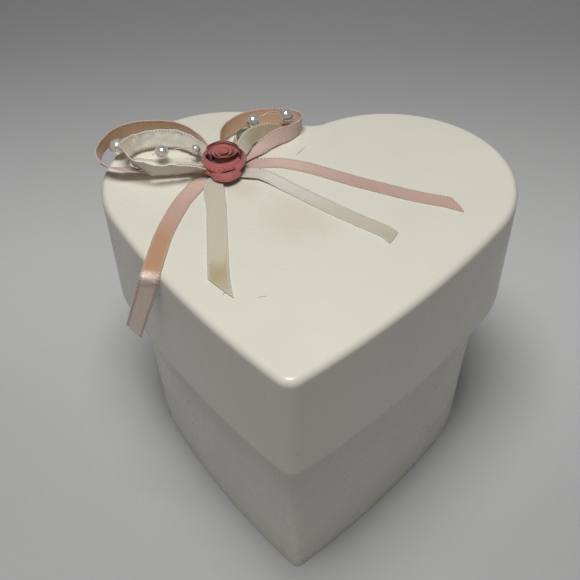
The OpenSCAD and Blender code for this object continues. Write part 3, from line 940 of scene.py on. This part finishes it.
@dataclass
class Rose:
    """The ribbon rose: a rolled bud and the petals folded round it, in millimetres from the bow's middle."""

    turns: float = 3.0
    bud: Pair = (0.16, 2.2)
    bud_back: float = 0.4
    bud_foot: float = 2.2
    bud_top: float = 4.4
    bud_start: float = 200.0
    bud_lip: float = 0.42
    thickness: float = 0.15
    petals: tuple[Petal, ...] = (
        Petal(10, 190, (2.1, 2.4), (2.85, 4.15), (3.3, 3.85), 0.1, 0.4, 2),
        Petal(108, 340, (2.4, 1.6), (3.2, 3.95), (3.95, 2.6), 0.14, 0.1, 3),
        Petal(-48, 78, (2.4, 1.5), (3.45, 3.45), (4.05, 2.3), 0.12, 0.5, 2),
        Petal(48, 150, (2.5, 2.0), (3.75, 3.95), (4.1, 3.4), 0.12, 0.6, 2),
        Petal(-124, -24, (2.2, 1.3), (3.75, 2.5), (4.35, 1.1), 0.28, 0.3, 2),
        Petal(180, 262, (2.2, 1.2), (3.3, 2.3), (3.7, 1.4), 0.2, 0.3, 2),
    )

    def build(self, bow: Vector, finish: Material) -> Object:
        """Builds bud and petals as thin folded ribbon."""
        mesh = bmesh.new()
        uv = mesh.loops.layers.uv.new("ribbon")
        along = mesh.verts.layers.float.new("along")
        self.sheet(mesh, uv, along, 150, 8, self.roll, 22.0, 0.2)
        for number, petal in enumerate(self.petals):
            columns = max(18, int(abs(petal.end - petal.start) / 5))
            self.sheet(
                mesh, uv, along, columns, 18, lambda u, v, p=petal, n=number: p.point(u, v, n * 2.3), 10.0, 0.5
            )
        for vert in mesh.verts:
            vert.co = (bow + vert.co) * MM
        piece = keep(mesh, "rolled_rose", finish, Body.LID, ["rose"], 60.0, False)
        thicken(piece, self.thickness)
        smooth = piece.modifiers.new("Soft folds", "SUBSURF")
        smooth.levels = smooth.render_levels = 1
        return piece

    def roll(self, u: float, v: float) -> Vector:
        """A point of the rolled bud."""
        angle = math.radians(self.bud_start) + u * self.turns * 2 * math.pi
        radius = self.bud[0] + (self.bud[1] - self.bud[0]) * u**1.1 + self.bud_lip * v**4
        radius *= 1 + 0.1 * math.sin(angle * 1.37 + 0.5) * u
        top = self.bud_top - 0.25 * u + 0.12 * math.sin(angle * 1.5) - 0.12 * v**8
        height = self.bud_foot + (top - self.bud_foot) * v
        return Vector((radius * math.cos(angle), radius * math.sin(angle) + self.bud_back * u, height))

    @staticmethod
    def sheet(
        mesh: BMesh,
        uv: object,
        along: object,
        columns: int,
        rows: int,
        shape: Callable[[float, float], Vector],
        length: float,
        offset: float,
    ) -> None:
        """Adds one grid bent to a shape, with its UV map in millimetres."""
        made = bmesh.ops.create_grid(mesh, x_segments=columns, y_segments=rows, size=0.5)["verts"]
        flat = {v: (v.co.x + 0.5, v.co.y + 0.5) for v in made}
        for vert, (u, v) in flat.items():
            vert.co = shape(u, v)
            # along runs from the foot to the edge; the rose's colour ramp paints shade towards the foot.
            vert[along] = v
        for face in {f for v in made for f in v.link_faces}:
            for loop in face.loops:
                u, v = flat[loop.vert]
                loop[uv].uv = ((v - offset) * 3.0, u * length)


@dataclass
class Pearl:
    """One bored pearl bead, in millimetres from the bow's middle."""

    node: str
    centre: Vector
    diameter: float
    bore: Vector
    hole_d: float = 0.7
    steps: int = 22
    segments: int = 48

    def build(self, bow: Vector, finish: Material) -> Object:
        """Spins the bead's half outline round its bore, then closes the bore's wall."""
        mesh = bmesh.new()
        radius = self.diameter / 2
        lip = math.asin(self.hole_d / 2 / radius)
        start = mesh.verts.new(Vector((math.sin(lip), 0, math.cos(lip))) * radius)
        bmesh.ops.spin(mesh, geom=[start], cent=(0, 0, 0), axis=(0, 1, 0), angle=math.pi - 2 * lip, steps=self.steps)
        half = mesh.verts[:] + mesh.edges[:]
        bmesh.ops.spin(
            mesh, geom=half, cent=(0, 0, 0), axis=(0, 0, 1), angle=2 * math.pi, steps=self.segments, use_merge=True
        )
        bmesh.ops.remove_doubles(mesh, verts=mesh.verts, dist=0.0005)
        bmesh.ops.bridge_loops(mesh, edges=[e for e in mesh.edges if e.is_boundary])
        turn = self.bore.to_track_quat("Z", "Y").to_matrix().to_4x4()
        placed = Matrix.Scale(MM, 4) @ Matrix.Translation(bow + self.centre) @ turn
        bmesh.ops.transform(mesh, matrix=placed, verts=mesh.verts)
        return keep(mesh, self.node.replace("pearl", "bead"), finish, Body.LID, [self.node], 40.0)


@dataclass
class Gathering:
    """What holds the bow: the pleated knot, its binding thread and the glue under it, in millimetres."""

    knot_d: float = 1.8
    lift: float = 0.2
    thread_d: float = 0.2
    glue_r: float = 2.5
    glue_h: float = 0.78
    glue_top: float = 0.72
    glue_round: float = 0.5
    glue_lump: float = 0.06
    pleats: int = 11
    pleat_depth: float = 0.05
    waist_depth: float = 0.16
    waist_w: float = 0.3
    knot_fit: float = 0.98
    thread_r: float = 0.83
    thread_pitch: float = 2.2
    thread_turns: int = 3
    turn_steps: int = 40

    @property
    def middle(self) -> Vector:
        """The knot's middle above the bow's middle."""
        return Vector((0, 0, self.knot_d / 2 + self.lift))

    def knot(self, bow: Vector, finish: Material) -> Object:
        """The knot, a small ball drawn into pleats where the thread binds it."""
        mesh = bmesh.new()
        bmesh.ops.create_uvsphere(mesh, u_segments=64, v_segments=32, radius=self.knot_d / 2)
        for vert in mesh.verts:
            pleat = self.pleat_depth * math.cos(self.pleats * math.atan2(vert.co.z, vert.co.y))
            waist = self.waist_depth * math.exp(-((vert.co.x / self.waist_w) ** 2))
            shrink = 1 - waist - pleat
            vert.co = Vector((vert.co.x, vert.co.y * shrink, vert.co.z * shrink))
            vert.co = (bow + self.middle + vert.co * self.knot_fit) * MM
        return keep(mesh, "pleated_knot", finish, Body.LID, ["knot"])

    def thread(self, bow: Vector, finish: Material) -> Object:
        """The turns of thread round the knot's waist."""
        mesh = bmesh.new()
        steps = self.thread_turns * self.turn_steps
        points = []
        for i in range(steps + 1):
            angle = 2 * math.pi * i / self.turn_steps
            x = (i / steps - 0.5) * self.thread_d * self.thread_pitch
            place = Vector((x, self.thread_r * math.cos(angle), self.thread_r * math.sin(angle)))
            points.append((bow + self.middle + place) * MM)
        add_tube(mesh, points, self.thread_d / 2 * MM, 8)
        return keep(mesh, "binding_turns", finish, Body.LID, ["binding_thread"])

    def glue(self, bow: Vector, finish: Material) -> Object:
        """The glue dab, a low uneven dome."""
        mesh = bmesh.new()
        bmesh.ops.create_cone(
            mesh, cap_ends=True, segments=56, radius1=self.glue_r, radius2=self.glue_r * self.glue_top,
            depth=self.glue_h,
        )
        rims = [e for e in mesh.edges if all(v.co.z > 0 for v in e.verts)]
        bmesh.ops.bevel(
            mesh, geom=rims, offset=self.glue_round, segments=5, profile=0.5, affect="EDGES", material=-1
        )
        for vert in mesh.verts:
            angle = math.atan2(vert.co.y, vert.co.x)
            lump = 1 - self.glue_lump + self.glue_lump * math.sin(3 * angle + 0.6) * math.cos(2 * angle)
            vert.co = Vector((vert.co.x * lump, vert.co.y * lump, vert.co.z + self.glue_h / 2))
            vert.co = (bow + vert.co) * MM
        return keep(mesh, "glue_drop", finish, Body.LID, ["glue_dab"], 70.0)


# ---------------------------------------------------------------- the bow: routes in millimetres from its middle


PINK_LOOP_LEFT = (
    (-1.1, -0.4, 1.05, 0, 0.3), (-3, -0.9, 1.1, 5, 0.6), (-6.5, -0.6, 1.2, 10, 1), (-11, -1.3, 1.4, 12, 1),
    (-16, -2.3, 1.9, 22, 1), (-19.6, -1.7, 2.2, 45, 1), (-21.7, 0.6, 2.3, 80, 1), (-21.7, 4, 2.3, 95, 1),
    (-20.2, 7.6, 2.3, 100, 1), (-17, 10, 2.3, 105, 1), (-13, 10.6, 2.3, 105, 1), (-9, 9.8, 2.2, 100, 1),
    (-5.6, 7.2, 2, 90, 0.9), (-3.4, 4.2, 1.6, 60, 0.6), (-1.1, 1.2, 1.2, 10, 0.3),
)
PINK_LOOP_RIGHT = (
    (1.3, 0.8, 1.05, 0, 0.3), (3, 3.1, 0.75, 0, 0.6), (5.1, 5.7, 0.65, 10, 0.7), (7, 7.7, 1.2, 55, 0.85),
    (8.9, 9, 1.6, 75, 1), (10.7, 10.2, 1.65, 85, 1), (12.2, 12, 1.7, 95, 1), (12.2, 13.9, 1.7, 100, 1),
    (10.4, 15.1, 1.7, 102, 1), (7, 15.4, 1.7, 102, 1), (3.4, 14.4, 1.75, 102, 1), (0.6, 12.2, 1.8, 100, 1),
    (-1.3, 9, 1.8, 90, 0.9), (-1.4, 5.4, 1.6, 75, 0.6), (0, 1.4, 1.15, 10, 0.3),
)
CREAM_LOOP_LEFT = (
    (-1.1, -0.7, 1.55, 0, 0.3), (-3, -1.95, 1.95, 35, 0.5), (-6.6, -3.35, 2.85, 62, 1), (-10.5, -4.3, 3.35, 66, 1.1),
    (-14, -3.3, 3.7, 66, 1.1), (-16.6, 0, 3.2, 70, 1.1), (-17.2, 3, 2.7, 80, 1.1), (-15.4, 5.4, 2.4, 85, 1.1),
    (-12, 6.5, 2.4, 85, 1.1), (-8.4, 6.3, 2.3, 80, 1.1), (-5.2, 4.7, 1.9, 60, 0.8), (-3, 2.6, 1.7, 25, 0.5),
    (-1.3, 0.9, 1.6, 0, 0.3),
)
CREAM_LOOP_RIGHT = (
    (1.4, 0.2, 1.5, 0, 0.3), (2.4, 3.2, 1.9, 35, 0.7), (3.2, 5.6, 2.3, 60, 1), (4.2, 8, 2.3, 72, 1),
    (6.2, 9.7, 2, 68, 1), (7.9, 11.1, 1.5, 55, 0.8), (9.2, 12.4, 1.1, 25, 0.6), (8.6, 13.3, 1, 15, 0.6),
    (6.6, 13.2, 1.2, 40, 0.8), (4.2, 12.7, 1, 25, 0.7), (1.9, 11, 1.2, 50, 0.8), (0.9, 8.6, 1.5, 70, 0.8),
    (1.1, 5.2, 1.6, 50, 0.5), (0.9, 1.6, 1.6, 0, 0.3),
)
PINK_TAIL_LEFT = (
    (-2.3, -1.6, 0.2, 0, 0.7), (-3.9, -3.5, 0.16, 0, 0.99), (-4.9, -5.8, 0.16, 0, 1.01), (-5.8, -8.2, 0.16, 0, 1),
    (-6.4, -10.6, 0.16, 0, 1), (-6.9, -13.1, 0.16, 0, 1), (-7.3, -15.6, 0.16, 0, 1), (-7.6, -18.1, 0.16, 0, 1),
    (-7.7, -20.6, 0.16, 0, 1), (-7.8, -23.1, 0.17, 0, 1), (-7.9, -25.6, 0.13, 0, 1), (-8.4, -27.2, -1.47, 0, 1),
    (-9.2, -26.9, -3.81, 0, 1), (-10, -26.3, -6.12, 0, 1), (-10.9, -25.7, -8.42, 0, 1), (-11.7, -25.2, -10.72, 0, 1),
    (-12.6, -24.8, -13.05, 0, 1), (-13.4, -24.4, -15.4, 0, 1),
)
PINK_TAIL_RIGHT = (
    (2.4, 1.3, 0.2, 0, 0.7), (4.8, 2.5, 0.16, 0, 0.9), (7.3, 2.95, 0.16, 0, 0.9), (9.8, 2.9, 0.16, 0, 0.9),
    (12.3, 2.3, 0.16, 0, 0.9), (14.7, 1.5, 0.16, 0, 0.9), (17.2, 0.4, 0.16, 0, 0.9), (19.6, -0.7, 0.16, 0, 0.9),
    (22, -1.8, 0.16, 0, 0.9), (24.5, -2.8, 0.16, 0, 0.9), (27, -3.8, 0.16, 0, 0.9), (29.5, -4.8, 0.16, 0, 0.9),
    (32, -5.7, 0.16, 0, 0.9), (34.5, -6.4, 0.16, 0, 0.9), (37, -7.1, 0.16, 0, 0.9), (39.9, -8.3, 0.16, 0, 0.9),
)
CREAM_TAIL_LEFT = (
    (-0.6, -1.4, 0.95, 0, 0.35), (-1.1, -3.2, 0.78, 0, 0.85), (-1.1, -5.2, 0.6, 0, 1.1), (-0.7, -7.3, 0.45, 0, 1.1),
    (-0.2, -9.4, 0.26, 0, 1.1), (0.1, -11.5, 0.17, 0, 1.1), (0.4, -13.5, 0.16, 0, 1.1), (0.7, -15.5, 0.16, 0, 1.1),
    (1, -17.5, 0.16, 0, 1.1), (1.3, -19.5, 0.16, 0, 1.1), (1.6, -21.5, 0.16, 0, 1.1), (1.9, -23.5, 0.16, 0, 1.1),
    (2.2, -25.5, 0.16, 0, 1.1), (2.6, -27.5, 0.16, 0, 1.1), (3, -29.3, 0.16, 0, 1.1), (3.5, -31.1, 0.16, 0, 1.1),
)
CREAM_TAIL_RIGHT = (
    (2.4, -0.9, 0.6, 0, 0.7), (4.4, -0.7, 0.6, 0, 0.9), (6.3, -0.9, 0.55, 0, 0.9), (8.2, -1.8, 0.4, 0, 0.9),
    (10, -3.1, 0.25, 0, 0.9), (11.8, -4.4, 0.17, 0, 0.9), (13.6, -5.7, 0.16, 0, 0.9), (15.3, -7, 0.16, 0, 0.9),
    (17, -8.2, 0.16, 0, 0.9), (18.8, -9.5, 0.16, 0, 0.9), (20.5, -10.7, 0.16, 0, 0.9), (22.3, -11.9, 0.16, 0, 0.9),
    (24, -13, 0.16, 0, 0.9), (25.6, -14, 0.16, 0, 0.9), (27.3, -15.2, 0.16, 0, 0.9), (28.6, -17, 0.16, 0, 0.85),
)
PEARL_AT = tuple(
    Vector(p) for p in ((-19.1, 3.8, 2.3), (-11, 2.5, 2.3), (-5.1, 2.7, 2.8), (3.9, 11.6, 3), (9.7, 13, 3.4))
)
PEARL_D = (2.8, 2.4, 1.7, 2.4, 2.4)
STRING_LEFT = ((-1.4, 0.1, 1.9), (-3, 1.1, 2.2), PEARL_AT[2], (-8, 3, 2.7), PEARL_AT[1], (-12.6, 2.1, 2))
STRING_END = (
    (-2.8, 1.6, 0.8), (-6, 2, 0.5), (-11, 2.6, 0.4), (-15.4, 3.2, 0.4), (-18.2, 3.6, 1), PEARL_AT[0], (-19.9, 4, 3.5),
)
STRING_RIGHT = ((0.4, 3.6, 1.9), (0.4, 6.4, 2.9), PEARL_AT[3], (6.9, 13.4, 3.7), PEARL_AT[4], (11.2, 12.2, 3.1))

PINK = rgb(0.66, 0.42, 0.35)
PINK_PALE = rgb(0.78, 0.56, 0.47)
PINK_TAN = rgb(0.68, 0.42, 0.25)
PINK_LILAC = rgb(0.68, 0.48, 0.44)
# Near-white pink painted on the hanging part of the left pink tail: a painted satin sheen, lighter than the ribbon's
# own pink.
PINK_PAINTED_SHEEN = rgb(1.0, 0.78, 0.68)
TAIL_TAN = rgb(0.6, 0.34, 0.19)
CREAM = rgb(0.7, 0.64, 0.5)
CREAM_GREY = rgb(0.62, 0.57, 0.46)
CREAM_STAIN = rgb(0.55, 0.45, 0.28)
CREAM_PALE = rgb(0.87, 0.83, 0.74)
CREAM_WARM = rgb(0.78, 0.7, 0.58)

SELVEDGES = {"pink": (PINK_PALE, rgb(0.2, 0.09, 0.06)), "cream": (CREAM_PALE, rgb(0.2, 0.16, 0.1))}
ROSE_SATIN = Satin(
    "Satin rose",
    (
        # Darkening to near black towards the foot of each petal and of the bud is painted shade in the crevices
        # between petals; the folds carry the lightest red.
        (0.0, rgb(0.04, 0.004, 0.005)), (0.3, rgb(0.2, 0.03, 0.03)), (0.5, rgb(0.42, 0.085, 0.085)),
        (0.7, rgb(0.66, 0.17, 0.165)), (1.0, rgb(0.56, 0.13, 0.125)),
    ),
    rgb(0.6, 0.2, 0.18), rgb(0.42, 0.1, 0.1), roughness=0.5,
)
KNOT_RIBBON = Spun("Knot ribbon", CREAM, CREAM_GREY, 0.5, 900.0)
BINDING_THREAD = Spun("Binding thread", rgb(0.62, 0.58, 0.48), rgb(0.45, 0.41, 0.33), 0.6, 4000.0)
HOT_GLUE = Spun("Hot glue", rgb(0.6, 0.46, 0.25), rgb(0.68, 0.57, 0.36), 0.25, 700.0, 0.35)
CLEAR_FILAMENT = Spun("Clear filament", rgb(0.86, 0.85, 0.8), rgb(0.78, 0.77, 0.72), 0.08, 1500.0, 0.75)

# Each tail: kind, side, route, width direction if it is fixed, length in metres, slant of its cut in millimetres,
# longer side, seed, colours along it, and its shine and painted glints.
TAILS = (
    (
        "pink", "left", PINK_TAIL_LEFT, Vector((1, 0, 0)), 0.0427, 3.0, Side.LEFT, 2.0,
        # From about 0.6 along, the hanging part is painted the near-white sheen colour, and from shine_from on it
        # also gets painted glints and metallic.
        ((0.0, PINK_PALE), (0.25, PINK), (0.42, TAIL_TAN), (0.57, TAIL_TAN), (0.62, PINK_PAINTED_SHEEN)),
        {"shine": 0.8, "painted_glints": 0.8, "shine_from": 0.57},
    ),
    (
        "pink", "right", PINK_TAIL_RIGHT, None, 0.0399, 2.4, Side.RIGHT, 4.0,
        ((0.0, PINK), (0.2, PINK_PALE), (0.6, PINK), (1.0, PINK)), {},
    ),
    (
        "cream", "left", CREAM_TAIL_LEFT, None, 0.0302, 5.0, Side.LEFT, 6.0,
        ((0.0, CREAM_GREY), (0.4, CREAM), (0.68, CREAM), (0.82, CREAM_STAIN), (1.0, CREAM_GREY)), {},
    ),
    (
        "cream", "right", CREAM_TAIL_RIGHT, None, 0.0316, 1.4, Side.RIGHT, 8.0,
        ((0.0, CREAM_GREY), (0.2, CREAM_PALE), (0.8, CREAM), (1.0, CREAM_GREY)), {},
    ),
)

# Each loop: kind, side, route, crinkle, seed and colours along it.
LOOPS = (
    (
        "pink", "left", PINK_LOOP_LEFT, 0.09, 11.0,
        ((0.0, PINK_LILAC), (0.38, PINK_LILAC), (0.48, PINK_TAN), (0.72, PINK_TAN), (0.85, PINK_PALE)),
    ),
    (
        "pink", "right", PINK_LOOP_RIGHT, 0.08, 13.0,
        ((0.0, PINK_PALE), (0.45, PINK_LILAC), (0.52, PINK_TAN), (0.85, PINK_TAN)),
    ),
    (
        "cream", "left", CREAM_LOOP_LEFT, 0.34, 15.0,
        ((0.0, CREAM_PALE), (0.45, CREAM_WARM), (0.7, CREAM_PALE), (1.0, CREAM)),
    ),
    (
        "cream", "right", CREAM_LOOP_RIGHT, 0.12, 17.0,
        ((0.0, CREAM), (0.45, CREAM_STAIN), (0.6, CREAM_GREY), (1.0, CREAM)),
    ),
)


@dataclass
class Bow:
    """The whole bow on the lid: loops, tails, rose, knot, glue, filaments and pearls."""

    shape: HeartShape = field(default_factory=HeartShape)
    lid_top: float = 58.5
    shift: Pair = (0.2, 0.4)
    filament_r: float = 0.09
    filament_steps: int = 8

    @property
    def middle(self) -> Vector:
        """The bow's middle, over the left lobe's centre."""
        return Vector((self.shape.lobe_x * -1 + self.shift[0], self.shape.lobe_y + self.shift[1], self.lid_top))

    @staticmethod
    def satin(kind: str, place: str, stops: Sequence[tuple[float, Colour]], **more: float) -> Material:
        """A satin for one ribbon, with the edge and stitch colours of its kind."""
        edge, gap = SELVEDGES[kind]
        return Satin(f"Satin {kind} {place}", tuple(stops), edge, gap, **more).build()

    def tails(self) -> None:
        """The four tails, each a ribbon along its own route."""
        for kind, side, route, across, length, cut, longer, seed, stops, more in TAILS:
            ribbon = Ribbon(
                f"{kind}_tail_{side}", route, kind + "_ribbon", across=across, cut=cut, longer=longer, seed=seed
            )
            piece = ribbon.build(self.middle, self.satin(kind, side + " tail", stops, **more))

    def loops(self) -> None:
        """The four loops."""
        for kind, side, route, crinkle, seed, stops in LOOPS:
            ribbon = Ribbon(f"{kind}_loop_{side}", route, kind + "_ribbon", crinkle=crinkle, seed=seed)
            ribbon.build(self.middle, self.satin(kind, side + " loop", stops))

    def filaments(self, finish: Material) -> None:
        """The two clear filaments, as fine round tubes."""
        for name, strings in (("filament_left", (STRING_LEFT, STRING_END)), ("filament_right", (STRING_RIGHT,))):
            mesh = bmesh.new()
            for string in strings:
                turns = [i / self.filament_steps for i in range((len(string) - 1) * self.filament_steps + 1)]
                points = [(self.middle + Vector(spline_point(string, turn))) * MM for turn in turns]
                add_tube(mesh, points, self.filament_r * MM, 10)
            keep(mesh, "clear_" + name, finish, Body.LID, [name])

    def build(self) -> None:
        """Builds everything of the bow but its tails."""
        self.loops()
        Rose().build(self.middle, ROSE_SATIN.build())
        gathering = Gathering()
        gathering.knot(self.middle, KNOT_RIBBON.build())
        gathering.thread(self.middle, BINDING_THREAD.build())
        gathering.glue(self.middle, HOT_GLUE.build())
        self.filaments(CLEAR_FILAMENT.build())
        nacre = Nacre().build()
        bores = (
            (STRING_END[4], STRING_END[6]), (STRING_LEFT[3], STRING_LEFT[5]), (STRING_LEFT[1], STRING_LEFT[3]),
            (STRING_RIGHT[1], STRING_RIGHT[3]), (STRING_RIGHT[3], STRING_RIGHT[5]),
        )
        for number, (centre, size, (a, b)) in enumerate(zip(PEARL_AT, PEARL_D, bores), 1):
            Pearl(f"pearl_{number}", centre, size, (Vector(b) - Vector(a)).normalized()).build(self.middle, nacre)


@dataclass
class Studio:
    """The camera, the paper sweep and the lights."""

    eye: Triple = (6.06, -101.37, 139.69)
    up: Triple = (-0.0326, 0.704, 0.7095)
    ahead: Triple = (-0.083, 0.7055, -0.7039)
    lens: float = 50.7
    shift: float = 0.0345
    half_width: float = 900.0
    near: float = 700.0
    far: float = 260.0
    sweep_r: float = 190.0
    wall: float = 600.0
    room_glow: float = 0.05
    backdrop_glow: float = 0.2

    def camera(self) -> None:
        """The camera at its fixed place."""
        data = bpy.data.cameras.new("Camera")
        data.lens = self.lens
        data.sensor_width = 36.0
        data.shift_x = data.shift_y = self.shift
        data.clip_start, data.clip_end = 0.005, 5.0
        camera = linked("Camera", data)
        ahead = Vector(self.ahead).normalized()
        right = ahead.cross(Vector(self.up)).normalized()
        turned = Matrix((right, right.cross(ahead), -ahead)).transposed().to_4x4()
        camera.matrix_world = Matrix.Translation(Vector(self.eye) * MM) @ turned
        bpy.context.scene.camera = camera

    def paper(self) -> None:
        """A paper floor that sweeps up into a backdrop."""
        mesh = bmesh.new()
        ends = [mesh.verts.new(Vector((x, -self.near, 0)) * MM) for x in (-self.half_width, self.half_width)]
        edges = [mesh.edges.new(ends)]
        grown = bmesh.ops.extrude_edge_only(mesh, edges=edges)["geom"]
        line = [v for v in grown if isinstance(v, BMVert)]
        bmesh.ops.translate(mesh, vec=Vector((0, self.near + self.far, 0)) * MM, verts=line)
        edges = [e for e in grown if isinstance(e, BMEdge)]
        bent = bmesh.ops.spin(
            mesh, geom=line + edges, cent=Vector((0, self.far, self.sweep_r)) * MM, axis=(1, 0, 0),
            angle=math.pi / 2, steps=32,
        )["geom_last"]
        last = [e for e in bent if isinstance(e, BMEdge)]
        grown = bmesh.ops.extrude_edge_only(mesh, edges=last)["geom"]
        line = [v for v in grown if isinstance(v, BMVert)]
        bmesh.ops.translate(mesh, vec=Vector((0, 0, self.wall)) * MM, verts=line)
        floor = linked("studio_paper", surface(mesh, "studio_paper", Paper().build()))

    @staticmethod
    def lamp(name: str, at: Sequence[float], to: Sequence[float], size: float, watts: float, tint: Colour) -> None:
        """One soft square lamp.

        Args:
            name: the lamp's name.
            at: where it stands, in millimetres.
            to: the point that it faces.
            size: its width in millimetres.
            watts: its power.
            tint: its colour.
        """
        data = bpy.data.lights.new(name, "AREA")
        data.shape = "SQUARE"
        data.size = size * MM
        data.energy = watts
        data.color = tint[:3]
        lamp = linked(name, data)
        facing = (Vector(to) - Vector(at)).to_track_quat("-Z", "Y")
        lamp.matrix_world = Matrix.Translation(Vector(at) * MM) @ facing.to_matrix().to_4x4()

    def lights(self) -> None:
        """A soft lamp overhead, a wider one in front, a low fill at the left, and a dim even room."""
        self.lamp("Top softbox", (-12, -60, 340), (-5, -20, 0), 120, 0.675, rgb(1.0, 0.99, 0.965))
        self.lamp("Front softbox", (40, -260, 460), (0, 0, 40), 260, 0.16, rgb(1.0, 0.995, 0.98))
        self.lamp("Left fill", (-480, -60, 220), (0, 0, 30), 300, 0.03, rgb(1.0, 0.995, 0.98))
        world = bpy.data.worlds.new("Room")
        world.use_nodes = True
        sheet = Sheet(world.node_tree)
        seen = sheet.add("LightPath").outputs["Is Camera Ray"]
        glow = sheet.math("MULTIPLY_ADD", seen, self.backdrop_glow, self.room_glow)
        back = sheet.add("Background", None, Color=rgb(0.95, 0.97, 1.0), Strength=glow)
        sheet.feed(sheet.add("OutputWorld").inputs["Surface"], back.outputs[0])
        bpy.context.scene.world = world
        bpy.context.scene.view_settings.view_transform = "Standard"


GLUE_STAIN = Stain((-0.0008, 0.001, 0.0585), 0.0085, 0.2, rgb(0.62, 0.45, 0.24))
# A soft darker, browner patch on the lid, just in front of and right of the rose.
PATCH_BY_ROSE = Stain((-0.0105, 0.0085, 0.0585), 0.0045, 0.2, rgb(0.5, 0.38, 0.22))

FIBRES = (
    Fibre((-0.0014, 0.0197, 0.0585), 61.0, 0.0021),
    Fibre((-0.0103, -0.0166, 0.0585), 70.0, 0.0011, 0.0014),
    Fibre((-0.0049, -0.0176, 0.0585), 20.0, 0.0009, 0.0014),
)


def main() -> None:
    """Builds the scene in order."""
    logging.basicConfig(level=logging.INFO, format="%(message)s")
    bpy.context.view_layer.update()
    studio = Studio()
    studio.camera()
    bow = Bow()
    bow.tails()
    studio.paper()
    studio.lights()
    shells = Shells()
    shells.base(IvoryPlastic("Ivory plastic base").build())
    shells.lid(IvoryPlastic("Ivory plastic lid", (GLUE_STAIN, PATCH_BY_ROSE), FIBRES).build())
    bow.build()


if __name__ == "__main__":
    main()
